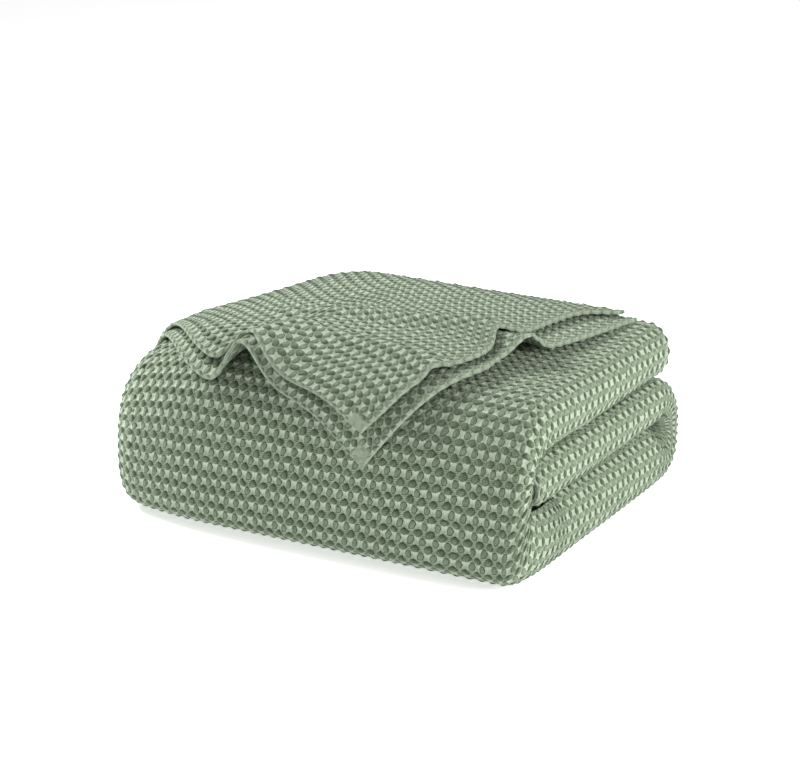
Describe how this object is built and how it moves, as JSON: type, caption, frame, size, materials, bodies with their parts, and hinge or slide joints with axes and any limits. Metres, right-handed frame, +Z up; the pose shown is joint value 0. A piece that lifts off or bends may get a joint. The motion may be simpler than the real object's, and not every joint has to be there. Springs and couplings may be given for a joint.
{
  "type": "waffle weave cotton blanket, folded",
  "caption": "Sage green waffle weave cotton blanket folded into a soft rectangular pack, with a doubled corner draped over its top.",
  "frame": {"origin": "middle of the base of the folded pack, on the surface it rests on", "axes": "+X along the pack's long side towards the end with the nested turns, -Y out of the folded front, +Z up"},
  "size_m": [0.4132, 0.3278, 0.1782],
  "materials": {
    "sage_cotton": "matt honeycomb weave cotton, lightly napped"
  },
  "bodies": {
    "root": {"blanket": "sage_cotton"}
  },
  "joints": []
}
